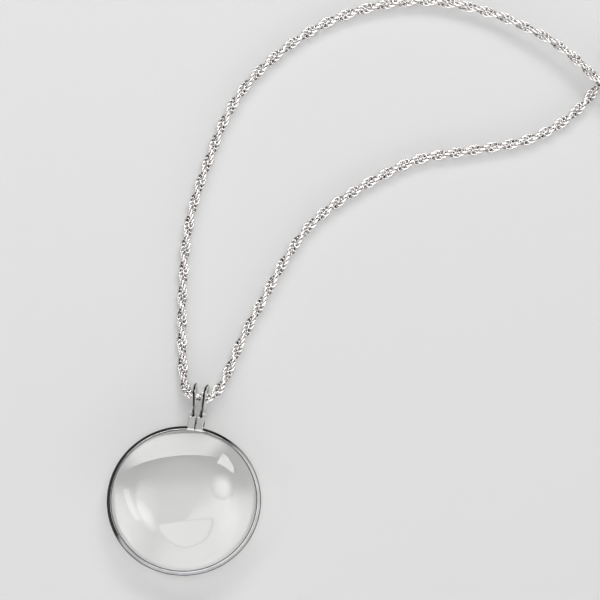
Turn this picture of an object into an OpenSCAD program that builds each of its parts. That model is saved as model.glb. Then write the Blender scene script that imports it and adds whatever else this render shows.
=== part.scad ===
// Magnifier pendant lying on a flat surface, with its rope chain closed round in one loop.
// Origin: where the lens touches the surface, on the lens axis. +Z up, +Y up the picture.

/* [Lens] */
// Diameter of the glass
lens_d = 43.2; // [42.6:0.1:43.8]
// Radius of both domed faces
lens_dome_r = 55; // [51:1:58]
// Thickness of the glass at its edge
lens_edge_t = 1.7; // [1.4:0.1:1.7]

/* [Bezel] */
// Thickness of the band round the glass
band_t = 0.78; // [0.7:0.02:0.9]
// Height of the band
band_h = 3; // [2.9:0.1:3.4]
// How far each lip reaches in over the glass
lip_over = 0.4; // [0.3:0.05:0.5]
// Thickness of each lip
lip_t = 0.38; // [0.3:0.02:0.4]
// Width of the flat ring on each lip, beside the glass
lip_land = 0.3; // [0.2:0.05:0.4]
// Height of the slope from the flat ring out to the band's wall
slope_h = 0.55; // [0.4:0.05:0.6]
// Width of the split through the band and between its tabs
split_w = 0.3; // [0.25:0.05:0.4]
// Angle of the split from the picture's up direction
pendant_turn = 8; // [7:0.5:9]

/* [Tabs and screw] */
// Width of each tab across the split
tab_w = 2.1; // [2:0.05:2.3]
// Length of each tab's full-height block
block_len = 2.8; // [2.6:0.1:3]
// Length of the thin ear beyond the block
ear_len = 1.9; // [1.8:0.1:2.1]
// Thickness of the ear
ear_t = 1.3; // [1.1:0.1:1.5]
// Diameter of the screw's head
screw_head_d = 1.7; // [1.5:0.1:1.8]
// Thickness of the screw's head
screw_head_t = 0.5; // [0.4:0.05:0.6]
// Diameter of the screw's shank
screw_d = 0.9; // [0.8:0.1:1]

/* [Bail loops] */
// Outer diameter of each wire loop
loop_d = 10.2; // [9.9:0.1:10.4]
// Diameter of the loops' wire
loop_wire_d = 1.05; // [0.95:0.05:1.1]
// Diameter of the hole in each ear
ear_hole_d = 1.55; // [1.5:0.05:1.6]
// Angle that each loop turns outward from the split
loop_splay = 3.5; // [3:0.5:4]

/* [Chain] */
// Diameter of the rope chain
chain_d = 3.2; // [3:0.1:3.3]
// Longest distance between two rings of the chain's tube
ring_step = 15; // [12:1:16]

/* [Clasp] */
// Diameter of the closed barrel clasp
clasp_d = 4.8; // [4.6:0.1:5]
// Length of the clasp
clasp_len = 17; // [16:1:18]
// Depth of the cup at each end that takes the chain
cup_depth = 1.6; // [1.4:0.1:1.8]

/* [Hidden] */
$fn = 96;

metal = "silver";
slack = 0.12;
chain_sides = 8;

// The lens rests on its lower dome, so the band round its edge is clear of the surface.
lens_r = lens_d / 2;
lens_sag = lens_dome_r - sqrt(lens_dome_r ^ 2 - lens_r ^ 2);
mid_z = lens_sag + lens_edge_t / 2;
band_r = lens_r + slack + band_t;
lip_r = lens_r - lip_over;

// Places along the split, from the lens axis outward.
hole_y = band_r + block_len + ear_len / 2;
ear_end_y = band_r + block_len + ear_len;
screw_y = band_r + block_len / 2;
tab_x = (split_w + tab_w) / 2;

// Each loop rests on the surface, so it leans by what its middle is lower than its ear.
loop_r = (loop_d - loop_wire_d) / 2;
loop_z = loop_d / 2 + 0.05;
loop_lean = asin((mid_z - loop_z) / loop_r);

// The clasp lies at the loop's far end, with the chain's two ends in its cups.
clasp_mid = [265.5, 135, clasp_d / 2];
clasp_way = 90;
function on_clasp(s) = clasp_mid + s * [cos(clasp_way), sin(clasp_way), 0];
chain_end = clasp_len / 2 - cup_depth + slack;
before_clasp = clasp_len / 2 + 4;

// The chain passes through both loops on a line across the split.
bail_mid = [4.5, 32.1, 3.6];
past_loop = 2.7;
function on_bail(s) = bail_mid + s * [cos(pendant_turn), -sin(pendant_turn), 0];

// Both routes start in the middle of the bail and end in the clasp. Each point is x, y and height of the
// chain's middle. The first route passes over the second near x = 124.
lie = chain_d / 2;
over = lie + chain_d + 0.2;
route_a = [
  on_bail(0), on_bail(-past_loop), [0, 35.2, 2.9], [-0.8, 41.2, 1.8], [-1.2, 54, lie],
  [-1, 68, lie], [0, 82, lie], [2.4, 94, lie], [6.4, 106.5, lie], [11.3, 119.5, lie],
  [17.8, 130.5, lie], [28, 141, lie], [41, 150, lie], [56, 155.5, 1.8], [72, 157.3, 2.2],
  [88, 154.2, 2.9], [101, 148.6, 3.9], [113, 141, 4.8], [124, 129.8, over], [135, 116, 4.1],
  [149, 103.5, 2.4], [167, 95, lie], [188, 90.5, lie], [209, 89.5, lie], [230, 92, lie],
  [248, 99, lie], [260, 110, 1.8], on_clasp(-before_clasp), on_clasp(-chain_end)
];
route_b = [
  on_bail(0), on_bail(past_loop), [10, 34.8, 2.9], [12.7, 40.6, 1.8], [16.6, 50.3, lie],
  [22.8, 62.6, lie], [29.6, 75.4, lie], [36.8, 85.8, lie], [45.8, 93.6, lie], [57.8, 101.2, lie],
  [70, 106.8, lie], [85, 109.4, lie], [100, 112.2, lie], [110, 116.6, lie], [118.2, 123.2, lie],
  [124.3, 131, lie], [131, 142, lie], [142, 155.5, lie], [158, 167.5, lie], [179, 176.5, lie],
  [202, 180, lie], [225, 179, lie], [245, 172, lie], [259, 160, 1.8], on_clasp(before_clasp),
  on_clasp(chain_end)
];

// A smooth curve through the points of a route, in steps no longer than ring_step. It never dips below
// the height at which the chain lies on the surface.
function with_ends(p) = concat([2 * p[0] - p[1]], p, [2 * p[len(p) - 1] - p[len(p) - 2]]);
function between(q, i, t) =
  let (a = q[i], b = q[i + 1], c = q[i + 2], d = q[i + 3])
  0.5 * (2 * b + (c - a) * t + (2 * a - 5 * b + 4 * c - d) * t ^ 2 + (3 * b - a - 3 * c + d) * t ^ 3);
function laid(v) = [v[0], v[1], max(v[2], lie)];
function smooth(p) =
  let (q = with_ends(p))
  concat(
    [for (i = [0:len(p) - 2]) let (n = ceil(norm(p[i + 1] - p[i]) / ring_step))
      for (k = [0:n - 1]) laid(between(q, i, k / n))],
    [p[len(p) - 1]]
  );

function unit(v) = v / norm(v);
function heading(p, i) = unit(p[min(i + 1, len(p) - 1)] - p[max(i - 1, 0)]);
function ring(middle, along, r) =
  let (side = unit(cross([0, 0, 1], along)), top = cross(along, side))
  [for (k = [0:chain_sides - 1]) let (a = 360 * k / chain_sides) middle + r * (sin(a) * side + cos(a) * top)];

// A closed tube along the points.
module tube(path, d) {
  n = len(path);
  points = [for (i = [0:n - 1]) each ring(path[i], heading(path, i), d / 2)];
  sides = [for (i = [0:n - 2], k = [0:chain_sides - 1])
    let (next = (k + 1) % chain_sides, a = i * chain_sides)
    [a + k, a + next, a + chain_sides + next, a + chain_sides + k]];
  first = [for (k = [chain_sides - 1:-1:0]) k];
  last = [for (k = [0:chain_sides - 1]) (n - 1) * chain_sides + k];
  polyhedron(points, concat([first], sides, [last]));
}

// The pendant's own directions: Y outward along the split, Z up, at half height of the band.
module on_pendant() {
  rotate([0, 0, -pendant_turn]) translate([0, 0, mid_z]) children();
}

module lens() {
  sphere_z = lens_dome_r - mid_z;
  color("lightcyan", 0.4) on_pendant() intersection() {
    translate([0, 0, sphere_z]) sphere(r = lens_dome_r);
    translate([0, 0, -sphere_z]) sphere(r = lens_dome_r);
    cylinder(r = lens_r, h = 4 * mid_z, center = true);
  }
}

// The upper half of the band's cross-section: its wall, its sloped edge and its lip over the glass.
module band_half() {
  top = band_h / 2;
  wall_in = lens_r + slack;
  polygon([
    [wall_in, 0], [band_r, 0], [band_r, top - slope_h], [lip_r + lip_land, top], [lip_r, top],
    [lip_r, top - lip_t], [wall_in, top - lip_t]
  ]);
}

// The room inside the band that the glass fills.
module glass_room() {
  cylinder(r = lens_r + slack, h = band_h - 2 * lip_t, center = true);
}

// A tab beside the split: a full-height block for the screw, flush with the lips' flat rings, and a thin
// ear for the loop.
module tab(side) {
  sunk = band_r - lip_r - lip_land;
  translate([side * tab_x - tab_w / 2, band_r - sunk, -band_h / 2]) cube([tab_w, block_len + sunk, band_h]);
  translate([side * tab_x - tab_w / 2, band_r, -ear_t / 2])
    cube([tab_w, ear_end_y - band_r - tab_w / 2, ear_t]);
  translate([side * tab_x, ear_end_y - tab_w / 2, 0]) cylinder(d = tab_w, h = ear_t, center = true);
}

module ear_hole(side) {
  translate([side * tab_x, hole_y, 0]) cylinder(d = ear_hole_d, h = band_h, center = true);
}

// The screw lies across the split, from the left tab to the right tab's outer side.
screw_tip_x = -split_w / 2 - tab_w * 0.6;
screw_seat_x = split_w / 2 + tab_w - screw_head_t / 2;

module screw_room() {
  translate([screw_tip_x - slack, screw_y, 0]) rotate([0, 90, 0])
    cylinder(d = screw_d + 2 * slack, h = screw_seat_x - screw_tip_x + 2 * slack);
  translate([screw_seat_x, screw_y, 0]) rotate([0, 90, 0])
    cylinder(d = screw_head_d + 2 * slack, h = tab_w);
}

module bezel() {
  color(metal) on_pendant() difference() {
    union() {
      rotate_extrude() band_half();
      mirror([0, 0, 1]) rotate_extrude() band_half();
      tab(-1);
      tab(1);
    }
    glass_room();
    translate([-split_w / 2, 0, -band_h]) cube([split_w, 2 * band_r, 2 * band_h]);
    ear_hole(-1);
    ear_hole(1);
    screw_room();
  }
}

// The screw's head is let half into the right tab and has a cross cut in it.
module tab_screw() {
  under_head_x = screw_seat_x + slack / 2;
  cut_w = 0.28;
  color("dimgray") on_pendant() translate([0, screw_y, 0]) difference() {
    union() {
      translate([screw_tip_x, 0, 0]) rotate([0, 90, 0]) cylinder(d = screw_d, h = under_head_x - screw_tip_x);
      translate([under_head_x, 0, 0]) rotate([0, 90, 0]) cylinder(d = screw_head_d, h = screw_head_t);
    }
    for (turn = [0, 90]) translate([under_head_x + screw_head_t, 0, 0]) rotate([turn, 0, 0])
      cube([screw_head_t, cut_w, screw_head_d * 0.7], center = true);
  }
}

// A closed wire loop that stands in its ear's hole, rests on the surface and holds the chain.
module bail_loop(side) {
  color(metal) on_pendant() translate([side * tab_x, hole_y, 0])
    rotate([-loop_lean, 0, -side * loop_splay]) translate([0, loop_r, 0])
    rotate([0, 90, 0]) rotate_extrude() translate([loop_r, 0]) circle(d = loop_wire_d);
}

module chain_a() {
  color(metal) tube(smooth(route_a), chain_d);
}

module chain_b() {
  color(metal) tube(smooth(route_b), chain_d);
}

// Half of the barrel, from its fuller waist out to the rounded rim round its cup.
module barrel_half() {
  end_z = clasp_len / 2;
  waist_r = clasp_d / 2;
  end_r = waist_r - 0.25;
  cup_r = chain_d / 2 + 0.25;
  rim = 0.3;
  polygon([
    [0, 0], [waist_r, 0], [waist_r, end_z * 0.4], [end_r, end_z * 0.55], [end_r, end_z - rim],
    [end_r - rim, end_z], [cup_r, end_z], [cup_r, end_z - cup_depth], [0, end_z - cup_depth]
  ]);
}

module clasp() {
  color(metal) translate(clasp_mid) rotate([0, 0, clasp_way]) rotate([0, 90, 0])
    for (end = [0, 1]) mirror([0, 0, end]) rotate_extrude() barrel_half();
}

lens();
bezel();
tab_screw();
bail_loop(-1);  // bail_loop_left
bail_loop(1);  // bail_loop_right
chain_a();
chain_b();
clasp();
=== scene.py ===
"""Dresses the magnifier pendant: its lens, bezel, bail loops and rope chain, on a plain studio surface."""

from math import asin, cos, degrees, exp, pi, radians, remainder, sin, tan, tau

import bmesh
import bpy
from bpy.props import FloatProperty, FloatVectorProperty, IntProperty, PointerProperty
from mathutils import Matrix, Vector


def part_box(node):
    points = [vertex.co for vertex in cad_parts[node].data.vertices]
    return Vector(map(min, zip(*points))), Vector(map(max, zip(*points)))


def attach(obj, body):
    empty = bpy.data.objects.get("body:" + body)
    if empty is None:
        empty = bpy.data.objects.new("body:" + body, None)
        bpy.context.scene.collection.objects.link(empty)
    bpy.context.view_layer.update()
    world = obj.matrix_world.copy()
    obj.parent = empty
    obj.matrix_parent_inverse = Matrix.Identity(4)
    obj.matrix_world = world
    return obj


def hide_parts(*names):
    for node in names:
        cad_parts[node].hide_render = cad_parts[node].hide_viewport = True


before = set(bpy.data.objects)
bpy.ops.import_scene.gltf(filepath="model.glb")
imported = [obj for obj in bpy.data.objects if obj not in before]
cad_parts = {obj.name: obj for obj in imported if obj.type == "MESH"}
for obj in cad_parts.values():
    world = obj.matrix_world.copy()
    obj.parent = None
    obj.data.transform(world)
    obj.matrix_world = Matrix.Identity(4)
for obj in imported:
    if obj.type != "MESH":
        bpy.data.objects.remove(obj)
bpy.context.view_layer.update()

bl_info = {
    "name": "Magnifier Pendant",
    "version": (1, 0, 0),
    "blender": (4, 5, 0),
    "location": "View3D > Sidebar > Pendant",
    "description": "Builds the visible pieces of a magnifier pendant on a rope chain",
    "category": "Object",
}

# Lengths are in metres and angles in radians, except where a comment says millimetres or degrees.
MM = 0.001
BODY = "root"

# The pendant's own frame: origin on the lens axis at half height, Y outward along the split.
lens_low, lens_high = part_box("lens")
bezel_low, bezel_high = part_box("bezel")
PENDANT_TURN = radians(8)
MID_Z = (bezel_low.z + bezel_high.z) / 2
BAND_H = bezel_high.z - bezel_low.z
LENS_THICK = lens_high.z - lens_low.z
LENS_EDGE_T = 1.7 * MM
LENS_R = 21.6 * MM
BEVEL_SLOPE = 0.6
BAND_R = 22.5 * MM
SLACK = 0.12 * MM
LIP_T = 0.38 * MM
LIP_R = LENS_R - 0.4 * MM
LAND = 0.3 * MM
SLOPE_H = 0.55 * MM
SPLIT_W = 0.3 * MM
TAB_W = 2.1 * MM
TAB_X = (SPLIT_W + TAB_W) / 2
BLOCK_LEN = 2.8 * MM
EAR_LEN = 1.9 * MM
EAR_T = 1.3 * MM
EAR_HOLE_D = 1.55 * MM
HOLE_Y = BAND_R + BLOCK_LEN + EAR_LEN / 2
SCREW_Y = BAND_R + BLOCK_LEN / 2
SCREW_D = 0.9 * MM
SCREW_HEAD_D = 1.7 * MM
SCREW_HEAD_T = 0.5 * MM
SCREW_TIP_X = -SPLIT_W / 2 - TAB_W * 0.6
SCREW_SEAT_X = SPLIT_W / 2 + TAB_W - SCREW_HEAD_T / 2
LOOP_WIRE_D = 1.05 * MM
LOOP_R = (10.2 * MM - LOOP_WIRE_D) / 2
LOOP_Z = LOOP_R + LOOP_WIRE_D / 2 + 0.05 * MM
LOOP_LEAN = asin((MID_Z - LOOP_Z) / LOOP_R)
LOOP_SPLAY = radians(3.5)
ON_PENDANT = Matrix.Rotation(-PENDANT_TURN, 4, "Z") @ Matrix.Translation((0, 0, MID_Z))
Z_TO_X = Matrix.Rotation(pi / 2, 4, "Y")

# How far beside the split the band is dark with painted shade, and where its two painted dark hairlines lie:
# inward from its side on the slope, where one is a painted dark reflection, and outward from the lip's edge,
# a little sunk, where the other is painted shade. They stop short of the tabs by an angle.
SPLIT_DARK = 0.09 * MM
SLOPE_SHADE_LINE_IN = 0.2 * MM
LIP_SHADE_LINE_OUT = 0.05 * MM
LIP_SHADE_LINE_DEEP = 0.04 * MM
SHADE_LINE_HEIGHT_SHARE = 0.4
SHADE_LINE_STOP = 0.004

# The screw's pointed end, its domed head and the cross in it.
TIP_IN = 0.15 * MM
TIP_LEN = 0.2 * MM
HEAD_DOME = 0.12 * MM
CROSS_W = 0.28 * MM
CROSS_LEN = SCREW_HEAD_D * 0.7
CROSS_DEEP = 0.25 * MM

# The clasp and the two halves of the chain, whose routes both start in the middle of the bail.
CLASP_MID = Vector((265.5, 135, 2.4)) * MM
CLASP_LEN = 17 * MM
CLASP_D = 4.8 * MM
CLASP_TAPER = 0.25 * MM
CLASP_RIM = 0.3 * MM
CLASP_ROUND = 0.12 * MM
CUP_DEPTH = 1.6 * MM
CUP_PLAY = 0.25 * MM
CHAIN_D = 3.2 * MM
CHAIN_END = CLASP_LEN / 2 - CUP_DEPTH + SLACK
BEFORE_CLASP = CLASP_LEN / 2 + 4 * MM
BAIL_MID = Vector((4.5, 32.1, 3.6)) * MM
PAST_LOOP = 2.7 * MM
LIE = CHAIN_D / MM / 2
OVER = LIE + CHAIN_D / MM + 0.2
ROUTE_STEP = 1 * MM


def chain_route(side, *points):
    """A half's route from the bail's middle past a loop, by points in millimetres, into the clasp's cup."""
    across_bail = side * Vector((cos(PENDANT_TURN), -sin(PENDANT_TURN), 0))
    along_clasp = side * Vector((0, 1, 0))
    return [
        BAIL_MID, BAIL_MID + PAST_LOOP * across_bail, *(Vector(p) * MM for p in points),
        CLASP_MID + BEFORE_CLASP * along_clasp, CLASP_MID + CHAIN_END * along_clasp,
    ]


ROUTE_A = chain_route(
    -1, (0, 35.2, 2.9), (-0.8, 41.2, 1.8), (-1.2, 54, LIE), (-1, 68, LIE), (0, 82, LIE), (2.4, 94, LIE),
    (6.4, 106.5, LIE), (11.3, 119.5, LIE), (17.8, 130.5, LIE), (28, 141, LIE), (41, 150, LIE),
    (56, 155.5, 1.8), (72, 157.3, 2.2), (88, 154.2, 2.9), (101, 148.6, 3.9), (113, 141, 4.8),
    (124, 129.8, OVER), (135, 116, 4.1), (149, 103.5, 2.4), (167, 95, LIE), (188, 90.5, LIE),
    (209, 89.5, LIE), (230, 92, LIE), (248, 99, LIE), (260, 110, 1.8))
ROUTE_B = chain_route(
    1, (10, 34.8, 2.9), (12.7, 40.6, 1.8), (16.6, 50.3, LIE), (22.8, 62.6, LIE), (29.6, 75.4, LIE),
    (36.8, 85.8, LIE), (45.8, 93.6, LIE), (57.8, 101.2, LIE), (70, 106.8, LIE), (85, 109.4, LIE),
    (100, 112.2, LIE), (110, 116.6, LIE), (118.2, 123.2, LIE), (124.3, 131, LIE), (131, 142, LIE),
    (142, 155.5, LIE), (158, 167.5, LIE), (179, 176.5, LIE), (202, 180, LIE), (225, 179, LIE),
    (245, 172, LIE), (259, 160, 1.8))

# How many half turns the rope has made at so many millimetres along each half from the bail.
TURNS_A = [
    (0, -0.167), (12.8, 1.5), (27.8, 3.5), (49.7, 6.5), (64.6, 8.5), (84.3, 11.5), (104.1, 14.5),
    (124.7, 17.5), (156.5, 22.5), (403.3, 62.3)]
TURNS_B = [
    (0, 0.167), (6.5, 1.5), (28.7, 4.5), (49.9, 7.5), (65.1, 9.5), (81.9, 12.5), (99.5, 15.5),
    (146.7, 24.1), (345.2, 55.1)]

# Where across a ring's wire its painted shade starts and is full: 0 is the wire's middle, 1 its inner side.
RECESS_SHADE_START = -0.12
RECESS_SHADE_FULL = 0.42

# The painted shade on a bail loop's wire: at so many degrees round the loop, its middle across the wire from
# -1 at the left to 1 at the right, and its half width. Then how softly it ends, where the wire's flanks
# begin and how dark their painted shade is, and the angle and reach of the full painted shade in the ear.
LOOP_SHADE = [
    (0, 0, 0), (95, 0.35, 0.4), (122, 0.3, 0.45), (145, -0.4, 0.75), (172, -0.4, 0.8), (195, 0.15, 0.65),
    (225, 0.25, 0.6), (262, 0, 0.8), (285, 0, 0.5), (300, 0, 0), (360, 0, 0),
]
SHADE_SOFT = 0.2
FLANK_FROM = 0.9
FLANK_SHADE = 0.5
IN_EAR = (radians(270), 0.16)

# The soldered joint of a bail loop: its angle and reach, and the share of the wire that is lost there.
JOINT = (radians(215), radians(1.6))
JOINT_DENT = 0.035

# Each finish's roughness where it is clean and where it is worn, the size in millimetres of its smudges and
# of its scratches, and the share of its colour that tarnish takes in the smudges.
FINISHES = {
    "lens_glass": (0, 0.012, 9, 1.5, 0),
    "band_silver": (0.04, 0.12, 5, 0.9, 0.12),
    # The dark metal that paints shade in the split and the hairlines.
    "painted_shade_metal": (0.4, 0.6, 2, 0.5, 0.12),
    "screw_steel": (0.25, 0.45, 1.5, 0.4, 0.4),
    "loop_silver": (0.06, 0.16, 3, 0.6, 0.06),
    "chain_silver": (0.03, 0.1, 2, 0.5, 0.06),
    "clasp_silver": (0.05, 0.14, 4, 0.8, 0.12),
}

# Each panel's name, azimuth, elevation, distance, facing azimuth, side, width and height, and brightness.
STUDIO_PANELS = [
    ("window_back", -8, 38.6, 1.12, -3.5, (1, 0.06, 0), (1.26, 0.305), 2.95),
    ("back_fill", 15, 33, 1.2, 15, (1, -0.27, 0), (0.9, 0.3), 1.95),
    ("left_fill", -100, 32, 1.2, -100, (0.17, 1, 0), (0.8, 0.3), 2.4),
    ("ceiling", 180, 78, 1.5, 180, (1, 0, 0), (1.2, 1.2), 0.54),
]

# Each softbox's name, brightness, how much of it is a soft edge, whether it lights the surface, and its
# outline on a plane one metre up. A third number keeps that share of the glow at the edge.
SOFTBOXES = [
    ("window_view", 7.0, 0.4, False, [
        (-0.98, 0.851, 0), (-0.6, 0.874, 1), (0, 0.91, 1), (0.32, 0.93, 0.8), (0.5, 0.94, 0),
        (0.9, 1.67, 0), (0.5, 1.65, 0.8), (-0.6, 1.58, 0.8), (-1.4, 1.53, 0)]),
    ("skylight", 3.0, 0.16, True, [
        (-0.34, -0.05), (-0.01, -0.01), (0.31, 0.02), (0.31, -0.08), (0.26, -0.2), (0.17, -0.28),
        (0.01, -0.34), (-0.12, -0.31), (-0.24, -0.22), (-0.32, -0.13)]),
    ("window_key", 7.5, 0.06, True, [
        (0.52, 1.08), (0.57, 1.02), (0.61, 0.93), (0.65, 0.8), (0.62, 0.68), (0.55, 0.73),
        (0.39, 0.81)]),
    ("window_left", 3.0, 0.15, True, [
        (-0.89, 0.51), (-0.76, 0.48), (-0.71, 0.33), (-0.64, 0.19), (-0.56, 0.07), (-0.5, -0.01),
        (-0.59, -0.01), (-0.68, 0.09), (-0.76, 0.22), (-0.84, 0.36)]),
    ("lamp_left", 5.2, 0.9, False, [
        (-0.63, 0.3), (-0.51, 0.25), (-0.4, 0.13), (-0.33, 0.01), (-0.3, -0.13), (-0.38, -0.18),
        (-0.5, -0.07), (-0.59, 0.08), (-0.66, 0.21)]),
    ("lamp_right", 6.0, 0.9, False, [
        (0.47, 0.68), (0.58, 0.65), (0.62, 0.49), (0.57, 0.33), (0.43, 0.23), (0.31, 0.28), (0.26, 0.42),
        (0.31, 0.59)]),
]

# The room is an even grey low down. Above that, from low to high, each band has the elevation where it
# starts and how soft its edge is, then its greys or colours by azimuth, all in degrees.
ROOM_LOW = 0.65
ROOM_BANDS = [
    (9, 5, [(-180, 2.5), (-150, 2.3), (-135, 0.05), (26, 0.02), (36, 0.5), (60, 0.75), (100, 0.9),
            (125, 2.5), (180, 2.5)]),
    (30, 20, [(-180, (0.56, 0.57, 0.6)), (-109, (0.54, 0.55, 0.58)), (-102, 0.04), (18, 0.06), (34, 0.3),
              (50, 0.5), (66, 0.6), (115, 0.58), (140, (0.56, 0.57, 0.59)), (180, (0.56, 0.57, 0.6))]),
    (57, 10, [(-180, 2.8), (-150, 2.4), (-130, 0.08), (10, 0.1), (40, 1.2), (60, 2.8), (180, 2.8)]),
    (66, 10, [(-180, 2.8), (-145, 2.1), (-115, 0.25), (-50, 0.25), (-15, 0.5), (25, 0.52), (60, 2.8),
              (180, 2.8)]),
]
ROOM_BEHIND = 0.75

# The room as the glass shows it, by the direction of the ray that leaves the glass, with +Y to the back and
# +X to the right: it rises from the front to the middle, falls low at the back to a share, and rises toward
# the sides to so many times, a little sooner at the right.
LENS_RISE = (-0.35, 0.05)
LENS_FALL = (0.35, 0.9)
LENS_FALL_TO = 0.1
LENS_ASIDE = (0.45, 1)
LENS_ASIDE_TO = 3
LENS_RIGHT_SOONER = 0.1


def length_property(name, description, default):
    """A property for a length."""
    return FloatProperty(name=name, description=description, default=default, unit="LENGTH", precision=5)


def angle_property(name, description, default):
    """A property for an angle, with its default in degrees."""
    return FloatProperty(name=name, description=description, default=radians(default), unit="ROTATION")


def level_property(name, description, default):
    """A property for a brightness."""
    return FloatProperty(name=name, description=description, default=default, min=0)


def count_property(name, description, default, least):
    """A property for a number of faces."""
    return IntProperty(name=name, description=description, default=default, min=least)


def colour_property(name, description, default):
    """A property for a colour."""
    return FloatVectorProperty(name=name, description=description, default=default, subtype="COLOR")


class LensForm(bpy.types.PropertyGroup):
    """Sizes and looks of the glass."""

    refraction: FloatProperty(
        name="Refraction", description="Index of refraction of the glass", default=1.52, min=1.4, max=1.8)
    edge_bevel: length_property("Edge bevel", "Width of the ground bevel at the edge", 0.12 * MM)
    around: count_property("Steps around", "Faces round the lens", 160, 32)
    across: count_property("Steps across", "Faces from axis to edge", 36, 8)
    tint: colour_property("Tint", "Colour of the glass", (1.0, 1.0, 0.995))


class BezelForm(bpy.types.PropertyGroup):
    """Edges and finish of the band, its tabs, the screw and the bail loops."""

    edge_round: length_property("Edge rounding", "Radius inside the lips and beside the band", 0.07 * MM)
    rim_round: length_property("Rim rounding", "Radius of the flat rims' edges", 0.16 * MM)
    tab_round: length_property("Tab rounding", "Radius of the tabs' edges", 0.1 * MM)
    silver: colour_property("Silver", "Colour of the plated band", (0.9, 0.895, 0.885))
    steel: colour_property("Screw steel", "Colour of the screw", (0.2, 0.19, 0.18))
    # The hairlines are painted: a dark reflection on the shoulder and shade at the lip's edge.
    shade_line_w: length_property("Seam width", "Width of the dark hairlines on the band", 0.27 * MM)
    # This dark colour is painted shade for the hairlines, the split and the loops' wire.
    painted_shade: colour_property(
        "Patina", "Colour of the dark hairlines, the split and the loops' tarnish", (0.02, 0.02, 0.024))
    around: count_property("Steps around", "Faces round the band", 220, 48)


class RopeForm(bpy.types.PropertyGroup):
    """Sizes and looks of the rope chain's oval rings."""

    ring_spacing: length_property(
        "Ring spacing", "Distance along the rope from one ring to the next", 0.6 * MM)
    ring_radius: length_property("Ring radius", "Half the width of a ring's wire centre line", 0.72 * MM)
    ring_stretch: FloatProperty(
        name="Ring stretch", description="Length of a ring against its width", default=1.6, min=1)
    wire_d: length_property("Wire thickness", "Thickness of the rings' wire", 0.46 * MM)
    wire_w: length_property("Wire width", "Width of the rings' wire", 0.54 * MM)
    ring_offset: length_property(
        "Ring offset", "Distance of a ring's centre from the rope's middle", 0.64 * MM)
    ring_lean: angle_property(
        "Ring lean", "Angle of the rings against the rope's direction without a twist", -45)
    ring_sides: count_property("Ring sides", "Faces round a ring", 18, 8)
    wire_sides: count_property("Wire sides", "Faces round the wire", 8, 4)
    silver: colour_property("Silver", "Colour of the chain", (1.0, 0.965, 0.948))
    # The dark colour on the rings' inner sides is painted shade between the links.
    shade_colour: colour_property("Recess", "Colour of the tarnish inside the rings", (0.04, 0.037, 0.035))


class StudioForm(bpy.types.PropertyGroup):
    """The surface, the light and the camera."""

    camera_elevation: angle_property("Camera elevation", "Angle of the view above the surface", 73)
    camera_distance: length_property("Camera distance", "From the camera to the point it looks at", 1.2)
    camera_lens: FloatProperty(
        name="Camera lens", description="Focal length in millimetres on a 36 mm sensor", default=242.2)
    look_at: FloatVectorProperty(
        name="Look at", description="Point on the surface in the middle of the view", subtype="TRANSLATION",
        unit="LENGTH", default=(0.0338, 0.063, 0))
    floor_size: length_property("Surface size", "Width of the surface", 9)
    floor_colour: colour_property("Surface colour", "Colour of the surface", (0.8, 0.798, 0.797))
    room_light: level_property("Room light", "Brightness of the room's own light", 1)
    surface_light: level_property(
        "Surface light", "Share of the room's light that falls on the surface", 0.46)
    lens_light: level_property(
        "Light through the lens", "Brightness of the room as the glass passes it on", 1.65)
    lens_falloff: FloatProperty(
        name="Front falloff", description="Share of that brightness that comes from the front",
        default=0.05, min=0, max=1, subtype="FACTOR")


def feed(tree, socket, value):
    """Links an output to an input, or sets the input to a plain value."""
    if isinstance(value, bpy.types.NodeSocket):
        tree.links.new(value, socket)
    else:
        socket.default_value = value


def add_node(tree, kind, inputs=(), **properties):
    """A node with its properties set and its inputs, by name or number, fed from outputs or values."""
    node = tree.nodes.new(kind)
    for name, value in properties.items():
        setattr(node, name, value)
    for key, value in dict(inputs).items():
        feed(tree, node.inputs[key], value)
    return node


def maths(tree, operation, *values, **properties):
    """The result of one step of arithmetic."""
    return add_node(tree, "ShaderNodeMath", enumerate(values), operation=operation, **properties).outputs[0]


def ranged(tree, value, low, high, to_low=0, to_high=1, kind="LINEAR"):
    """A value mapped from one range to another and held inside it."""
    ends = {"Value": value, "From Min": low, "From Max": high, "To Min": to_low, "To Max": to_high}
    return add_node(tree, "ShaderNodeMapRange", ends, interpolation_type=kind).outputs["Result"]


def mixed(tree, factor, a, b):
    """The colour between a and b by a factor. Both are outputs or plain colours."""
    node = add_node(tree, "ShaderNodeMix", {"Factor": factor}, data_type="RGBA")
    sides = [socket for socket in node.inputs if socket.type == "RGBA"]
    for socket, value in zip(sides, (a, b)):
        feed(tree, socket, value if isinstance(value, bpy.types.NodeSocket) else (*value, 1))
    return next(socket for socket in node.outputs if socket.type == "RGBA")


def new_group(name, kind, ins, outs):
    """A node group with named inputs and outputs: its tree and the sockets of both ends."""
    tree = bpy.data.node_groups.new(name, kind)
    for side, sockets in (("INPUT", ins), ("OUTPUT", outs)):
        for socket, socket_kind in sockets.items():
            tree.interface.new_socket(socket, in_out=side, socket_type="NodeSocket" + socket_kind)
    return tree, tree.nodes.new("NodeGroupInput").outputs, tree.nodes.new("NodeGroupOutput").inputs


def new_material(name):
    """A node material with its tree and its Principled shader."""
    material = bpy.data.materials.new(name)
    material.use_nodes = True
    return material, material.node_tree, material.node_tree.nodes["Principled BSDF"]


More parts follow.
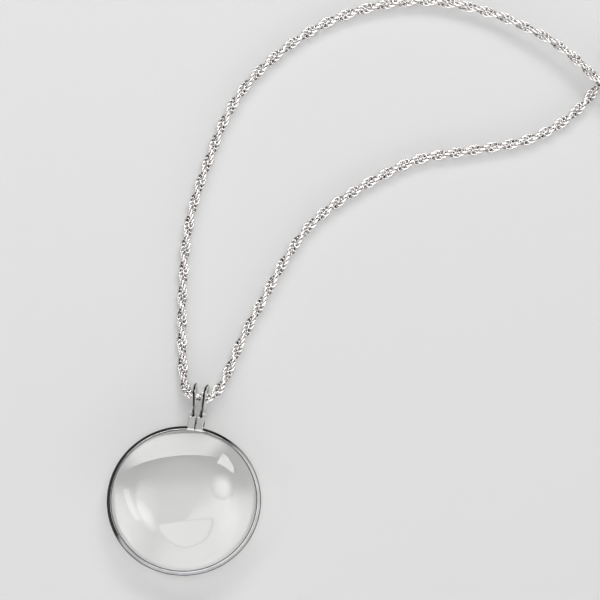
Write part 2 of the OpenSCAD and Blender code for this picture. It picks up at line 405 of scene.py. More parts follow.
def handling_marks():
    """A shader group: soft smudges and hair-fine scratches that a polished surface picks up."""
    name = "Handling Marks"
    if name in bpy.data.node_groups:
        return bpy.data.node_groups[name]
    sizes = ("Smudge Size", "Scratch Size", "Clean Roughness", "Worn Roughness")
    results = ("Mask", "Roughness", "Height")
    tree, start, end = new_group(
        name, "ShaderNodeTree", dict.fromkeys(sizes, "Float"), dict.fromkeys(results, "Float"))
    place = tree.nodes.new("ShaderNodeTexCoord").outputs["Object"]
    smudge = add_node(tree, "ShaderNodeTexNoise", {
        "Vector": place, "Scale": maths(tree, "DIVIDE", 1, start["Smudge Size"]),
        "Detail": 4, "Roughness": 0.6})
    drawn_out = add_node(tree, "ShaderNodeMapping", {
        "Vector": place, "Rotation": (0.3, 0.5, 0.7), "Scale": (1, 0.08, 1)})
    scratch = add_node(tree, "ShaderNodeTexNoise", {
        "Vector": drawn_out.outputs["Vector"], "Scale": maths(tree, "DIVIDE", 1, start["Scratch Size"]),
        "Detail": 2, "Roughness": 0.5})
    lines = ranged(tree, scratch.outputs["Fac"], 0.58, 0.72)
    clouds = ranged(tree, smudge.outputs["Fac"], 0.42, 0.68)
    lines_share = 0.4
    mask = maths(tree, "MULTIPLY_ADD", lines, lines_share, clouds, use_clamp=True)
    rough = ranged(tree, mask, 0, 1, start["Clean Roughness"], start["Worn Roughness"])
    for result, value in zip(results, (mask, rough, lines)):
        feed(tree, end[result], value)
    return tree


def add_marks(tree, shader, name):
    """Adds the handling marks of a finish, which set the shader's roughness."""
    clean, worn, smudge, scratch = FINISHES[name][:4]
    marks = add_node(tree, "ShaderNodeGroup", {
        "Smudge Size": smudge * MM, "Scratch Size": scratch * MM,
        "Clean Roughness": clean, "Worn Roughness": worn}, node_tree=handling_marks())
    feed(tree, shader.inputs["Roughness"], marks.outputs["Roughness"])
    return marks.outputs


def plated_metal(name, colour, shade_colour=None):
    """Polished metal of a named finish: its bright colour, duller in the smudges, and fine scratches. A dark
    colour of painted shade shows where the mesh's own attribute says so."""
    material, tree, shader = new_material(name)
    marks = add_marks(tree, shader, name)
    tarnish_and_shade = FINISHES[name][4]
    dull = [c * (1 - tarnish_and_shade) for c in colour]
    dull[2] *= 1 - tarnish_and_shade / 3
    tone = mixed(tree, marks["Mask"], colour, dull)
    if shade_colour:
        inside = add_node(tree, "ShaderNodeAttribute", attribute_name="inside")
        tone = mixed(tree, inside.outputs["Fac"], tone, shade_colour)
    bump = add_node(tree, "ShaderNodeBump", {
        "Strength": 0.15, "Distance": 0.01 * MM, "Height": marks["Height"]})
    shader.inputs["Metallic"].default_value = 1
    feed(tree, shader.inputs["Base Color"], tone)
    feed(tree, shader.inputs["Normal"], bump.outputs["Normal"])
    return material


def clear_glass(name, form):
    """Clear lens glass with faint smudges on its polish."""
    material, tree, shader = new_material(name)
    shader.inputs["Base Color"].default_value = (*form.tint, 1)
    shader.inputs["Transmission Weight"].default_value = 1
    shader.inputs["IOR"].default_value = form.refraction
    add_marks(tree, shader, name)
    return material


def turns(count):
    """The angles that divide a whole turn."""
    return [tau * i / count for i in range(count)]


def vertex(bm, radius, height, angle):
    """A new vertex at a radius, a height and an angle round Z."""
    return bm.verts.new((radius * cos(angle), radius * sin(angle), height))


def wrapped(bm, rows, loops=True, whole=True):
    """Joins each row of vertices to the next by faces. Rows that aren't loops stay open between their ends.
    A whole one joins the last row to the first. Any other gets a flat face at each end, which it returns."""
    for row, after in zip(rows, rows[1:] + rows[:1] if whole else rows[1:]):
        for k in range(len(row) if loops else len(row) - 1):
            n = (k + 1) % len(row)
            bm.faces.new((row[k], row[n], after[n], after[k]))
    return [] if whole else [bm.faces.new(list(reversed(rows[0]))), bm.faces.new(rows[-1])]


def merged(bm):
    """Merges doubled vertices and points the faces outward."""
    bmesh.ops.remove_doubles(bm, verts=bm.verts, dist=1e-7)
    bmesh.ops.recalc_face_normals(bm, faces=bm.faces)
    return bm


def mirrored(profile):
    """A profile of radius and height, turned over and run backward."""
    return [(r, -z) for r, z in reversed(profile)]


def turned(profile, steps):
    """A solid turned round Z from a profile of radius and height that starts and ends on the axis."""
    bm = bmesh.new()
    wrapped(bm, [[vertex(bm, r, z, a) for r, z in profile] for a in turns(steps)], loops=False)
    return merged(bm)


def split_ring(bm, outline, gap, steps):
    """Adds a bar that runs round Z, with an outline of radius and height, open by an angle to each side of
    +Y."""
    rows = []
    for i in range(steps + 1):
        angle = pi / 2 + gap + (tau - 2 * gap) * i / steps
        rows.append([vertex(bm, r, z, angle) for r, z in outline])
    wrapped(bm, rows, whole=False)
    return merged(bm)


def rounded_outline(corners, radii, steps):
    """A closed outline whose corners are turned into arcs, each of its own radius."""
    points = []
    edge_share = 0.45
    for i, (corner, radius) in enumerate(zip(corners, radii)):
        here = Vector(corner)
        back = Vector(corners[i - 1]) - here
        ahead = Vector(corners[(i + 1) % len(corners)]) - here
        half = back.angle(ahead) / 2
        reach = min(radius / tan(half), back.length * edge_share, ahead.length * edge_share)
        start = here + back.normalized() * reach
        end = here + ahead.normalized() * reach
        for k in range(steps + 1):
            t = k / steps
            points.append(start.lerp(here, t).lerp(here.lerp(end, t), t))
    return points


def box(size, middle):
    """A plain box."""
    bm = bmesh.new()
    bmesh.ops.create_cube(bm, size=1, matrix=Matrix.Translation(middle) @ Matrix.Diagonal((*size, 1)))
    return bm


def cylinder(radius, length, steps, place=Matrix()):
    """A plain upright cylinder, moved to its place."""
    bm = bmesh.new()
    bmesh.ops.create_cone(
        bm, cap_ends=True, segments=steps, radius1=radius, radius2=radius, depth=length, matrix=place)
    return bm


def rounded(bm, edges, radius, segments):
    """Rounds some edges of a bmesh."""
    bmesh.ops.bevel(bm, geom=edges, offset=radius, segments=segments, affect="EDGES", profile=0.5)
    return bm


def placed(name, data):
    """A new object in the scene."""
    thing = bpy.data.objects.new(name, data)
    bpy.context.scene.collection.objects.link(thing)
    return thing


def applied(holder, *tools):
    """The plain mesh that an object's modifiers give. The object, its tools and their meshes are removed."""
    depsgraph = bpy.context.evaluated_depsgraph_get()
    result = bpy.data.meshes.new_from_object(holder.evaluated_get(depsgraph))
    for thing in (holder, *tools):
        mesh = thing.data
        bpy.data.objects.remove(thing)
        bpy.data.meshes.remove(mesh)
    return result


def mesh_from(bm, name, place=Matrix()):
    """A mesh data block from a bmesh, moved to its place."""
    bmesh.ops.transform(bm, matrix=place, verts=bm.verts)
    mesh = bpy.data.meshes.new(name)
    bm.to_mesh(mesh)
    bm.free()
    return mesh


def shade(mesh, sharp_angle):
    """Smooth shading with hard edges past an angle in degrees."""
    mesh.shade_smooth()
    mesh.set_sharp_from_angle(angle=radians(sharp_angle))


def carved(base, others, place):
    """The base bmesh after each (operation, bmesh) in turn, as one mesh in its place."""
    holder = placed("carving", mesh_from(base, "carving"))
    tools = []
    for operation, bm in others:
        tools.append(placed("tool", mesh_from(bm, "tool")))
        step = holder.modifiers.new(operation, "BOOLEAN")
        step.operation = operation
        step.solver = "EXACT"
        step.object = tools[-1]
    result = applied(holder, *tools)
    result.transform(place)
    return result


def weighted(mesh, sharp_angle):
    """Shades a carved mesh so that its flat faces stay flat beside rounded edges."""
    shade(mesh, sharp_angle)
    holder = placed("shading", mesh)
    step = holder.modifiers.new("Weighted", "WEIGHTED_NORMAL")
    step.keep_sharp = True
    step.weight = 90
    return applied(holder)


def joined(meshes):
    """One mesh from several, which keeps their materials and shading."""
    objects = [placed("joining", mesh) for mesh in meshes]
    with bpy.context.temp_override(
            active_object=objects[0], selected_editable_objects=objects, selected_objects=objects):
        bpy.ops.object.join()
    result = objects[0].data
    bpy.data.objects.remove(objects[0])
    return result


def add_piece(name, mesh, material, node):
    """Links a finished mesh as a piece that rides on the body and stands for one of its solids. Without a
    material the mesh keeps its own."""
    mesh.name = name
    piece = placed(name, mesh)
    if material:
        mesh.materials.clear()
        mesh.materials.append(material)
        mesh.polygons.foreach_set("material_index", [0] * len(mesh.polygons))
    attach(piece, BODY)
    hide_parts(node)


def direction(azimuth, elevation):
    """The unit vector at an azimuth from +Y toward +X and an elevation, both in degrees."""
    a, e = radians(azimuth), radians(elevation)
    return Vector((sin(a) * cos(e), cos(a) * cos(e), sin(e)))


def fill_ramp(ramp, stops):
    """Sets a colour ramp's stops from azimuths in degrees, each with a grey or a colour."""
    while len(ramp.elements) > 1:
        ramp.elements.remove(ramp.elements[-1])
    for i, (azimuth, tone) in enumerate(stops):
        at = (azimuth + 180) / 360
        stop = ramp.elements.new(at) if i else ramp.elements[0]
        stop.position = at
        stop.color = (*tone, 1) if isinstance(tone, tuple) else (tone, tone, tone, 1)


class PENDANT_OT_stage(bpy.types.Operator):
    """Sets the pale surface, the soft studio light and the camera"""

    bl_idname = "pendant.stage"
    bl_label = "Set the Stage"

    def execute(self, context):
        form = context.scene.pendant_studio
        self.add_floor(form)
        self.add_camera(context, form)
        self.add_room(context, form)
        for panel in STUDIO_PANELS:
            self.add_panel(*panel)
        for softbox in SOFTBOXES:
            self.add_softbox(*softbox)
        context.scene.view_settings.view_transform = "Standard"
        return {"FINISHED"}

    def add_floor(self, form):
        """The surface, a fine matt card."""
        half = form.floor_size / 2
        mesh = bpy.data.meshes.new("floor")
        corners = [(-half, -half, 0), (half, -half, 0), (half, half, 0), (-half, half, 0)]
        mesh.from_pydata(corners, [], [(0, 1, 2, 3)])
        material, tree, shader = new_material("pale_card")
        place = tree.nodes.new("ShaderNodeTexCoord").outputs["Object"]
        grain = add_node(tree, "ShaderNodeTexNoise", {
            "Vector": place, "Scale": 900, "Detail": 3, "Roughness": 0.6})
        grain_shade = 0.985
        shaded = [c * grain_shade for c in form.floor_colour]
        tone = mixed(tree, grain.outputs["Fac"], form.floor_colour, shaded)
        feed(tree, shader.inputs["Base Color"], tone)
        shader.inputs["Roughness"].default_value = 0.9
        shader.inputs["Specular IOR Level"].default_value = 0.1
        mesh.materials.append(material)
        placed("floor", mesh)

    def add_camera(self, context, form):
        """The camera, at the photograph's angle above the surface."""
        camera = placed("camera", bpy.data.cameras.new("camera"))
        camera.data.sensor_width = 36
        camera.data.lens = form.camera_lens
        back = Vector((0, -cos(form.camera_elevation), sin(form.camera_elevation)))
        camera.location = Vector(form.look_at) + back * form.camera_distance
        camera.rotation_euler = (pi / 2 - form.camera_elevation, 0, 0)
        camera.data.clip_start = 0.01
        camera.data.clip_end = 20
        context.scene.camera = camera

    def add_room(self, context, form):
        """The room round the table: one look to mirror, another through the glass, and less light on the
        surface."""
        world = bpy.data.worlds.new("room")
        context.scene.world = world
        world.use_nodes = True
        tree = world.node_tree
        place = tree.nodes.new("ShaderNodeTexCoord").outputs["Generated"]
        x, y, z = add_node(tree, "ShaderNodeSeparateXYZ", {"Vector": place}).outputs
        ray = tree.nodes.new("ShaderNodeLightPath").outputs
        through = self.through_lens(tree, form, x, y)
        colour = mixed(tree, ray["Is Transmission Ray"], self.walls(tree, x, y, z), through)
        colour = mixed(tree, ray["Is Camera Ray"], colour, (ROOM_BEHIND,) * 3)
        less = form.room_light * (form.surface_light - 1)
        background = tree.nodes["Background"]
        feed(tree, background.inputs["Color"], colour)
        feed(tree, background.inputs["Strength"],
             maths(tree, "MULTIPLY_ADD", ray["Is Diffuse Ray"], less, form.room_light))

    def walls(self, tree, x, y, z):
        """The colour of the room in a direction, band over band."""
        azimuth = ranged(tree, maths(tree, "ARCTAN2", x, y), -pi, pi)
        elevation = maths(tree, "ARCSINE", z)
        colour = (ROOM_LOW,) * 3
        for start, soft, stops in ROOM_BANDS:
            low, high = radians(start - soft / 2), radians(start + soft / 2)
            ramp = add_node(tree, "ShaderNodeValToRGB", {"Fac": azimuth})
            fill_ramp(ramp.color_ramp, stops)
            above = ranged(tree, elevation, low, high, kind="SMOOTHSTEP")
            colour = mixed(tree, above, colour, ramp.outputs["Color"])
        return colour

    def through_lens(self, tree, form, x, y):
        """The brightness of the room in a direction for rays that leave the glass."""
        front = form.lens_light * form.lens_falloff
        rise = ranged(tree, y, *LENS_RISE, front, form.lens_light, "SMOOTHSTEP")
        fall = ranged(tree, y, *LENS_FALL, 1, LENS_FALL_TO)
        aside = maths(tree, "MULTIPLY_ADD", x, LENS_RIGHT_SOONER, maths(tree, "ABSOLUTE", x))
        gain = ranged(tree, aside, *LENS_ASIDE, 1, LENS_ASIDE_TO)
        return maths(tree, "MULTIPLY", maths(tree, "MULTIPLY", rise, fall), gain)

    def add_panel(self, name, azimuth, elevation, distance, facing, side, size, brightness):
        """A soft rectangular light on the surface. Azimuth 0 is behind the pendant and 90 at its right.
        Facing is the azimuth that the light looks from, and side the way its width runs."""
        back = direction(facing, elevation)
        across = Vector(side)
        across = (across - back * across.dot(back)).normalized()
        light = bpy.data.lights.new(name, "AREA")
        light.shape = "RECTANGLE"
        light.size, light.size_y = size
        light.energy = brightness * pi * light.size * light.size_y
        lamp = placed(name, light)
        turn = Matrix((across, back.cross(across), back)).transposed().to_4x4()
        lamp.matrix_world = Matrix.Translation(direction(azimuth, elevation) * distance) @ turn
        lamp.visible_glossy = False
        lamp.visible_transmission = False

    def add_softbox(self, name, brightness, soft, lights, outline):
        """A glowing shape overhead that fades toward its outline."""
        edge = [Vector(p[:2]) for p in outline]
        left = [p[2] if len(p) > 2 else 0 for p in outline]
        middle = sum(edge, Vector((0, 0))) / len(edge)
        inner = [middle + (p - middle) * (1 - soft) for p in edge]
        count = len(outline)
        faces = []
        for i in range(count):
            n = (i + 1) % count
            faces.append((0, 1 + n, 1 + i))
            faces.append((1 + i, 1 + n, 1 + count + n, 1 + count + i))
        mesh = bpy.data.meshes.new(name)
        mesh.from_pydata([(*p, 1) for p in (middle, *inner, *edge)], [], faces)
        glow = mesh.attributes.new("glow", "FLOAT", "POINT")
        glow.data.foreach_set("value", [1] * (count + 1) + left)
        material, tree, shader = new_material(name)
        tree.nodes.remove(shader)
        level = add_node(tree, "ShaderNodeAttribute", attribute_name="glow").outputs["Fac"]
        shine = add_node(tree, "ShaderNodeEmission", {
            "Strength": maths(tree, "MULTIPLY", level, brightness)})
        feed(tree, tree.nodes["Material Output"].inputs["Surface"], shine.outputs[0])
        mesh.materials.append(material)
        softbox = placed(name, mesh)
        softbox.visible_camera = False
        softbox.visible_diffuse = lights
        softbox.visible_transmission = False
        softbox.visible_shadow = False


class PENDANT_OT_lens(bpy.types.Operator):
    """Turns the biconvex glass"""

    bl_idname = "pendant.lens"
    bl_label = "Add the Lens"

    def execute(self, context):
        form = context.scene.pendant_lens
        half = LENS_THICK / 2
        edge = LENS_EDGE_T / 2
        sag = half - edge
        dome_r = (sag ** 2 + LENS_R ** 2) / (2 * sag)
        widest = asin((LENS_R - form.edge_bevel) / dome_r)
        upper = [
            (dome_r * sin(a), dome_r * cos(a) - dome_r + half)
            for a in (widest * k / form.across for k in range(form.across + 1))
        ]
        upper.append((LENS_R, edge - form.edge_bevel * BEVEL_SLOPE))
        bm = turned(upper + mirrored(upper), form.around)
        mesh = mesh_from(bm, "lens_glass", ON_PENDANT)
        shade(mesh, 20)
        add_piece("lens_glass", mesh, clear_glass("lens_glass", form), "lens")
        return {"FINISHED"}


class PENDANT_OT_bezel(bpy.types.Operator):
    """Makes the split band with its two soldered tabs"""

    bl_idname = "pendant.bezel"
    bl_label = "Add the Bezel"

    def execute(self, context):
        form = context.scene.pendant_bezel
        sides = (-1, 1)
        parts = [("UNION", make(side, form)) for side in sides for make in (self.block, self.ear)]
        parts += [("DIFFERENCE", self.ear_hole(side)) for side in sides]
        room = cylinder(LENS_R + SLACK, BAND_H - 2 * LIP_T, steps=96)
        bore = self.bore(SCREW_D / 2 + SLACK, SCREW_TIP_X - SLACK, SCREW_SEAT_X + SLACK, steps=24)
        seat = self.bore(SCREW_HEAD_D / 2 + SLACK, SCREW_SEAT_X, SCREW_SEAT_X + TAB_W, steps=32)
        parts += [("DIFFERENCE", cutter) for cutter in (room, bore, seat)]
        mesh = weighted(carved(self.band(form), parts, ON_PENDANT), 35)
        # Dark metal painting shade in the split and along the hairlines.
        painted_shade = plated_metal("painted_shade_metal", form.painted_shade)
        mesh.materials.clear()
        mesh.materials.append(plated_metal("band_silver", form.silver))
        mesh.materials.append(painted_shade)
        self.darken_split(mesh)
        shade_lines = self.shade_lines(form)
        shade_lines.materials.append(painted_shade)
        add_piece("bezel_band", joined([mesh, shade_lines]), None, "bezel")
        return {"FINISHED"}

    def band(self, form):
        """The band with its sloped edges and lips, open at the split."""
        top = BAND_H / 2
        wall_in = LENS_R + SLACK
        outline = [
            (wall_in, LIP_T - top), (LIP_R, LIP_T - top), (LIP_R, -top), (LIP_R + LAND, -top),
            (BAND_R, SLOPE_H - top), (BAND_R, top - SLOPE_H), (LIP_R + LAND, top), (LIP_R, top),
            (LIP_R, top - LIP_T), (wall_in, top - LIP_T),
        ]
        fine, broad = form.edge_round, form.rim_round
        radii = [fine, fine, broad, broad, fine, fine, broad, broad, fine, fine]
        gap = asin(SPLIT_W / 2 / BAND_R)
        return split_ring(bmesh.new(), rounded_outline(outline, radii, steps=5), gap, form.around)

    def block(self, side, form):
        """A tab's full-height block beside the split."""
        inner, outer = LIP_R + LAND, BAND_R + BLOCK_LEN
        bm = box((TAB_W, outer - inner, BAND_H), (side * TAB_X, (inner + outer) / 2, 0))
        return rounded(bm, bm.edges[:], form.tab_round, segments=3)

    def ear(self, side, form):
        """The thin ear with its round end."""
        half = TAB_W / 2
        x = side * TAB_X
        start_y = BAND_R + BLOCK_LEN / 2
        end_y = BAND_R + BLOCK_LEN + EAR_LEN - half
        outline = [(x + half, start_y)]
        outline += [
            (x + half * cos(a), end_y + half * sin(a))
            for a in (pi * k / 16 for k in range(17))
        ]
        outline += [(x - half, start_y)]
        bm = bmesh.new()
        rows = [[bm.verts.new((*p, z)) for p in outline] for z in (-EAR_T / 2, EAR_T / 2)]
        rims = [edge for face in wrapped(bm, rows, whole=False) for edge in face.edges]
        return rounded(bm, rims, form.tab_round, segments=2)

    def ear_hole(self, side):
        """The hole for a bail loop, as a cutter."""
        place = Matrix.Translation((side * TAB_X, HOLE_Y, 0))
        return cylinder(EAR_HOLE_D / 2, 2 * BAND_H, 32, place)

    def bore(self, radius, start_x, end_x, steps):
        """A bore on the screw's axis, as a cutter."""
        place = Matrix.Translation(((start_x + end_x) / 2, SCREW_Y, 0)) @ Z_TO_X
        return cylinder(radius, end_x - start_x, steps, place)

    def darken_split(self, mesh):
        """Gives the faces in and beside the split the second material, whose dark colour is painted shade.
        """
        back = ON_PENDANT.inverted()
        for face in mesh.polygons:
            middle = back @ face.center
            if middle.y > LIP_R and abs(middle.x) < SPLIT_W / 2 + SPLIT_DARK:
                face.material_index = 1

    def shade_lines(self, form):
        """Dark hairlines: a painted dark reflection on the shoulder and painted shade at the lip's edge."""
        top = BAND_H / 2
        slope = SLOPE_H / (BAND_R - LIP_R - LAND)
        bm = bmesh.new()
        half_w = form.shade_line_w / 2
        for radius, height in (
            (BAND_R - SLOPE_SHADE_LINE_IN, top - SLOPE_H + SLOPE_SHADE_LINE_IN * slope),
            (LIP_R + LIP_SHADE_LINE_OUT, top - LIP_SHADE_LINE_DEEP),
        ):
            outline = [
                (radius + half_w * cos(b), height + half_w * SHADE_LINE_HEIGHT_SHARE * sin(b))
                for b in turns(8)
            ]
            tabs = asin((SPLIT_W / 2 + TAB_W) / radius)
            split_ring(bm, outline, tabs + SHADE_LINE_STOP, form.around)
        mesh = mesh_from(bm, "shade_lines", ON_PENDANT)
        shade(mesh, 60)
        return mesh


class PENDANT_OT_tab_screw(bpy.types.Operator):
    """Turns the small dark screw through the tabs"""

    bl_idname = "pendant.tab_screw"
    bl_label = "Add the Tab Screw"

    def execute(self, context):
        form = context.scene.pendant_bezel
        under_head = SCREW_SEAT_X + SLACK / 2
        top = under_head + SCREW_HEAD_T
        shank_r, head_r = SCREW_D / 2, SCREW_HEAD_D / 2
        profile = [
            (0, SCREW_TIP_X), (shank_r - TIP_IN, SCREW_TIP_X), (shank_r, SCREW_TIP_X + TIP_LEN),
            (shank_r, under_head), (head_r, under_head),
        ]
        profile += [
            (head_r * cos(a), top - HEAD_DOME + HEAD_DOME * sin(a))
            for a in (pi / 2 * k / 6 for k in range(7))
        ]
        cuts = [
            ("DIFFERENCE", box((*size, 2 * CROSS_DEEP), (0, 0, top)))
            for size in ((CROSS_LEN, CROSS_W), (CROSS_W, CROSS_LEN))
        ]
        place = ON_PENDANT @ Matrix.Translation((0, SCREW_Y, 0)) @ Z_TO_X
        mesh = carved(turned(profile, steps=40), cuts, place)
        shade(mesh, 35)
        steel = plated_metal("screw_steel", form.steel)
        add_piece("tab_screw_steel", mesh, steel, "tab_screw")
        return {"FINISHED"}


class PENDANT_OT_bail_loops(bpy.types.Operator):
    """Bends the two closed wire loops that hold the chain"""

    bl_idname = "pendant.bail_loops"
    bl_label = "Add the Bail Loops"

    def execute(self, context):
        form = context.scene.pendant_bezel
        # The loops' dark parts are painted shade, where each loop's mask says.
        silver = plated_metal("loop_silver", form.silver, form.painted_shade)
        for side, name in ((-1, "left"), (1, "right")):
            place = ON_PENDANT @ Matrix.Translation((side * TAB_X, HOLE_Y, 0))
            place = place @ Matrix.Rotation(-side * LOOP_SPLAY, 4, "Z") @ Matrix.Rotation(-LOOP_LEAN, 4, "X")
            mesh = mesh_from(self.loop(), "loop", place @ Matrix.Translation((0, LOOP_R, 0)) @ Z_TO_X)
            shade(mesh, 60)
            add_piece("bail_wire_" + name, mesh, silver, "bail_loop_" + name)
        return {"FINISHED"}

    def loop(self):
        """A closed wire ring with the faint seam of its soldered joint and painted shade on its wire and
        flanks.
        """
        bm = bmesh.new()
        tarnish_and_shade = bm.verts.layers.float.new("inside")
        rows = []
        around, across = 144, 20
        for a in turns(around):
            middle, width = shade_at(degrees(a))
            wire_r = LOOP_WIRE_D / 2 * (1 - JOINT_DENT * near(a, *JOINT))
            row = []
            for b in turns(across):
                vert = vertex(bm, LOOP_R + wire_r * cos(b), wire_r * sin(b), a)
                # Painted shade across the wire, on its flanks and where it passes through the ear.
                shade_here = min(max((width - abs(sin(b) - middle)) / SHADE_SOFT, 0), 1)
                flank = min(max((abs(sin(b)) - FLANK_FROM) / (1 - FLANK_FROM), 0), FLANK_SHADE)
                vert[tarnish_and_shade] = max(shade_here, flank, near(a, *IN_EAR))
                row.append(vert)
            rows.append(row)
        wrapped(bm, rows)
        return merged(bm)


def near(angle, middle, reach):
    """How near an angle is to a middle one: 1 there, and fading away on both sides."""
    return exp(-(remainder(angle - middle, tau) / reach) ** 2)


def shade_at(at):
    """The middle and half width of the painted shade on a bail loop at an angle round it."""
    for (a0, m0, w0), (a1, m1, w1) in zip(LOOP_SHADE, LOOP_SHADE[1:]):
        if at <= a1:
            t = (at - a0) / (a1 - a0)
            return m0 + (m1 - m0) * t, w0 + (w1 - w0) * t


def route_line(route, step):
    """Points of the smooth curve through a route, every step along it, never lower than where it lies."""
    ends = [2 * route[0] - route[1], *route, 2 * route[-1] - route[-2]]
    fine = []
    per_span = 48
    for i in range(len(route) - 1):
        a, b, c, d = ends[i:i + 4]
        for k in range(per_span):
            t = k / per_span
            p = 0.5 * (2 * b + (c - a) * t + (2 * a - 5 * b + 4 * c - d) * t ** 2
                       + (3 * b - a - 3 * c + d) * t ** 3)
            fine.append(Vector((p.x, p.y, max(p.z, CHAIN_D / 2))))
    fine.append(route[-1])
    points, at, gone = [fine[0]], 0.0, 0.0
    for start, end in zip(fine, fine[1:]):
        span = (end - start).length
        while gone + span >= at + step:
            at += step
            points.append(start.lerp(end, (at - gone) / span))
        gone += span
    points.append(fine[-1])
    return points


def turned_at(plan, along):
    """The rope's turn in radians at a distance along a half of the chain, and how fast it grows."""
    here = along / MM
    for (s0, n0), (s1, n1) in zip(plan, plan[1:]):
        if here <= s1 or s1 == plan[-1][0]:
            rate = (n1 - n0) / (s1 - s0)
            return pi * (n0 + rate * (here - s0)), pi * rate / MM


def rope_tree():
    """Geometry nodes: a double rope of oval rings along a line. Each ring is turned a step further round the
    line than the last, and every second one starts on the other side, so that the rings make two strands."""
    name = "Rope Chain"
    if name in bpy.data.node_groups:
        return bpy.data.node_groups[name]
    floats = ("Ring Spacing", "Ring Radius", "Wire Radius", "Ring Stretch", "Wire Flatness", "Ring Offset",
              "Ring Lean")
    tree, start, end = new_group(
        name, "GeometryNodeTree",
        {"Line": "Geometry", **dict.fromkeys(floats, "Float"), "Ring Sides": "Int", "Wire Sides": "Int",
         "Metal": "Material"},
        {"Rope": "Geometry"})

    def result(kind, inputs=(), **properties):
        return add_node(tree, kind, inputs, **properties).outputs[0]

    def sums(operation, *values):
        return maths(tree, operation, *values)

    def vectors(operation, *values):
        return result("ShaderNodeVectorMath", enumerate(values), operation=operation)

    def scaled(vector, scale):
        return result("ShaderNodeVectorMath", {0: vector, "Scale": scale}, operation="SCALE")

    def attribute(attribute_name):
        return result("GeometryNodeInputNamedAttribute", {"Name": attribute_name}, data_type="FLOAT")

    # The line, cut back by half a step at both ends, with a point for each ring
    line = result("GeometryNodeMeshToCurve", {0: start["Line"]})
    line = result("GeometryNodeSetCurveNormal", {"Curve": line}, mode="Z_UP")
    half_step = sums("MULTIPLY", start["Ring Spacing"], 0.5)
    last = sums("SUBTRACT", result("GeometryNodeCurveLength", {0: line}), half_step)
    trim = add_node(tree, "GeometryNodeTrimCurve", {"Curve": line}, mode="LENGTH")
    ends = [s for s in trim.inputs if s.type == "VALUE" and s.enabled]
    for socket, value in zip(ends, (half_step, last)):
        feed(tree, socket, value)
    places = add_node(tree, "GeometryNodeCurveToPoints", {
        "Curve": trim.outputs[0], "Length": start["Ring Spacing"]}, mode="LENGTH").outputs

    # The turn of each ring: the line's own, and half a turn more on every second ring
    every_second = sums("MODULO", result("GeometryNodeInputIndex"), 2)
    turn = sums("MULTIPLY_ADD", every_second, pi, attribute("turn"))
    cos_turn, sin_turn = sums("COSINE", turn), sums("SINE", turn)

    # The ring's own axes: out of the rope, and along it with the lean
    along = vectors("NORMALIZE", places["Tangent"])
    up = vectors("NORMALIZE", places["Normal"])
    side = vectors("CROSS_PRODUCT", along, up)
    out = vectors("ADD", scaled(side, cos_turn), scaled(up, sin_turn))
    round_way = vectors("SUBTRACT", scaled(up, cos_turn), scaled(side, sin_turn))
    reach = sums("ADD", start["Ring Offset"], start["Ring Radius"])
    lean = sums("MULTIPLY_ADD", attribute("twist"), reach, start["Ring Lean"])
    lying = vectors("ADD", scaled(along, sums("COSINE", lean)), scaled(round_way, sums("SINE", lean)))
    rotation = result(
        "FunctionNodeAxesToRotation", {0: vectors("CROSS_PRODUCT", out, lying), 1: out},
        primary_axis="Z", secondary_axis="X")
    centres = result("GeometryNodeSetPosition", {
        "Geometry": places["Points"], "Offset": scaled(out, start["Ring Offset"])})

    # One ring of flattened wire
    circle, wire = (
        result("GeometryNodeCurvePrimitiveCircle", {
            "Resolution": start[of + " Sides"], "Radius": start[of + " Radius"]}, mode="RADIUS")
        for of in ("Ring", "Wire"))
    stretch = result("ShaderNodeCombineXYZ", {"X": 1, "Y": start["Ring Stretch"], "Z": 1})
    oval = result("GeometryNodeTransform", {"Geometry": circle, "Scale": stretch})
    ring = result("GeometryNodeCurveToMesh", {"Curve": oval, "Profile Curve": wire})
    flatness = result("ShaderNodeCombineXYZ", {"X": 1, "Y": 1, "Z": start["Wire Flatness"]})
    flat = result("GeometryNodeTransform", {"Geometry": ring, "Scale": flatness})

    # The mark of the painted shade, on the inner side of the ring's wire
    x, y, _ = add_node(tree, "ShaderNodeSeparateXYZ", {0: result("GeometryNodeInputPosition")}).outputs
    y = sums("DIVIDE", y, start["Ring Stretch"])
    from_middle = sums("SQRT", sums("MULTIPLY_ADD", x, x, sums("MULTIPLY", y, y)))
    inward = sums("DIVIDE", sums("SUBTRACT", start["Ring Radius"], from_middle), start["Wire Radius"])
    inside = ranged(tree, inward, RECESS_SHADE_START, RECESS_SHADE_FULL, kind="SMOOTHSTEP")
    mark = add_node(tree, "GeometryNodeStoreNamedAttribute", {"Geometry": flat, "Name": "inside"},
                    data_type="FLOAT", domain="POINT")
    feed(tree, next(s for s in mark.inputs if s.name == "Value" and s.enabled), inside)

    rings = result("GeometryNodeInstanceOnPoints", {
        "Points": centres, "Instance": mark.outputs[0], "Rotation": rotation})
    real = result("GeometryNodeRealizeInstances", {0: rings})
    smooth = result("GeometryNodeSetShadeSmooth", {0: real})
    metal = result("GeometryNodeSetMaterial", {"Geometry": smooth, "Material": start["Metal"]})
    feed(tree, end["Rope"], metal)
    return tree


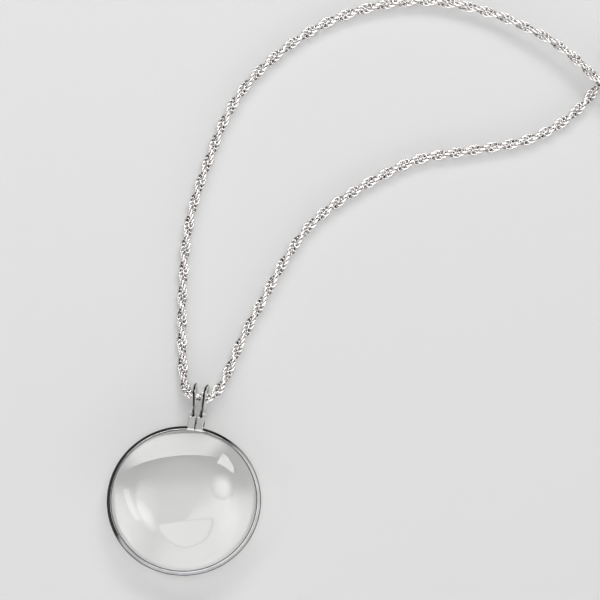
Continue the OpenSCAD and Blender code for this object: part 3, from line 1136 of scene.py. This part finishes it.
class PENDANT_OT_rope_chain(bpy.types.Operator):
    """Links the rope chain's two halves from rings"""

    bl_idname = "pendant.rope_chain"
    bl_label = "Add the Rope Chain"

    def execute(self, context):
        form = context.scene.pendant_rope
        # The dark insides of the rings are painted shade.
        silver = plated_metal("chain_silver", form.silver, form.shade_colour)
        for half, route, plan in (("a", ROUTE_A, TURNS_A), ("b", ROUTE_B, TURNS_B)):
            mesh = self.rope(form, route, plan, silver)
            add_piece("rope_chain_" + half, mesh, silver, "chain_" + half)
        return {"FINISHED"}

    def rope(self, form, route, plan, silver):
        """The plain mesh of one half's rings."""
        points = route_line(route, ROUTE_STEP)
        mesh = bpy.data.meshes.new("route")
        mesh.from_pydata(points, [(i, i + 1) for i in range(len(points) - 1)], [])
        turn, twist = zip(*(turned_at(plan, i * ROUTE_STEP) for i in range(len(points))))
        for name, values in (("turn", turn), ("twist", twist)):
            mesh.attributes.new(name, "FLOAT", "POINT").data.foreach_set("value", values)
        holder = placed("route", mesh)
        links = holder.modifiers.new("Rope", "NODES")
        links.node_group = rope_tree()
        values = {
            "Ring Spacing": form.ring_spacing, "Ring Radius": form.ring_radius,
            "Wire Radius": form.wire_d / 2, "Ring Stretch": form.ring_stretch,
            "Wire Flatness": form.wire_w / form.wire_d, "Ring Offset": form.ring_offset,
            "Ring Lean": form.ring_lean, "Ring Sides": form.ring_sides, "Wire Sides": form.wire_sides,
            "Metal": silver,
        }
        for item in links.node_group.interface.items_tree:
            if item.item_type == "SOCKET" and item.in_out == "INPUT" and item.name in values:
                links[item.identifier] = values[item.name]
        result = applied(holder)
        if not result.polygons:
            raise RuntimeError("the rope chain has no rings")
        return result


class PENDANT_OT_clasp(bpy.types.Operator):
    """Turns the plain closed barrel clasp"""

    bl_idname = "pendant.clasp"
    bl_label = "Add the Clasp"

    def execute(self, context):
        form = context.scene.pendant_rope
        end_z = CLASP_LEN / 2
        cup_z = end_z - CUP_DEPTH
        waist_r = CLASP_D / 2
        end_r = waist_r - CLASP_TAPER
        cup_r = CHAIN_D / 2 + CUP_PLAY
        outline = [
            (0, 0), (waist_r, end_z * 0.4), (end_r, end_z * 0.55), (end_r, end_z - CLASP_RIM),
            (cup_r, end_z), (cup_r, cup_z), (0, cup_z),
        ]
        arcs = rounded_outline(outline, [CLASP_ROUND] * len(outline), steps=4)
        upper = [(r, z) for r, z in arcs if r > cup_r / 2]
        bm = turned([(0, -cup_z), *mirrored(upper), *upper, (0, cup_z)], steps=64)
        place = Matrix.Translation(CLASP_MID) @ Matrix.Rotation(pi / 2, 4, "X")
        mesh = mesh_from(bm, "clasp_barrel", place)
        shade(mesh, 40)
        silver = plated_metal("clasp_silver", form.silver)
        add_piece("clasp_barrel", mesh, silver, "clasp")
        return {"FINISHED"}


class PENDANT_PT_parts(bpy.types.Panel):
    """Lists the pendant's pieces"""

    bl_idname = "PENDANT_PT_parts"
    bl_label = "Magnifier Pendant"
    bl_space_type = "VIEW_3D"
    bl_region_type = "UI"
    bl_category = "Pendant"

    def draw(self, context):
        for operator in OPERATORS:
            self.layout.operator(operator.bl_idname)
        for name in PROPERTY_GROUPS:
            group = getattr(context.scene, name)
            area = self.layout.box()
            for key in group.bl_rna.properties.keys():
                if key not in ("rna_type", "name"):
                    area.prop(group, key)


PROPERTY_GROUPS = {
    "pendant_lens": LensForm,
    "pendant_bezel": BezelForm,
    "pendant_rope": RopeForm,
    "pendant_studio": StudioForm,
}
OPERATORS = (
    PENDANT_OT_stage,
    PENDANT_OT_lens,
    PENDANT_OT_bezel,
    PENDANT_OT_tab_screw,
    PENDANT_OT_bail_loops,
    PENDANT_OT_rope_chain,
    PENDANT_OT_clasp,
)
CLASSES = (*PROPERTY_GROUPS.values(), *OPERATORS, PENDANT_PT_parts)


def register():
    for item in CLASSES:
        bpy.utils.register_class(item)
    for name, group in PROPERTY_GROUPS.items():
        setattr(bpy.types.Scene, name, PointerProperty(type=group))


def unregister():
    for name in PROPERTY_GROUPS:
        delattr(bpy.types.Scene, name)
    for item in reversed(CLASSES):
        bpy.utils.unregister_class(item)


def main():
    """Builds everything in order."""
    register()
    bpy.ops.pendant.stage()
    bpy.ops.pendant.lens()
    bpy.ops.pendant.bezel()
    bpy.ops.pendant.tab_screw()
    bpy.ops.pendant.bail_loops()
    bpy.ops.pendant.rope_chain()
    bpy.ops.pendant.clasp()


if __name__ == "__main__":
    main()
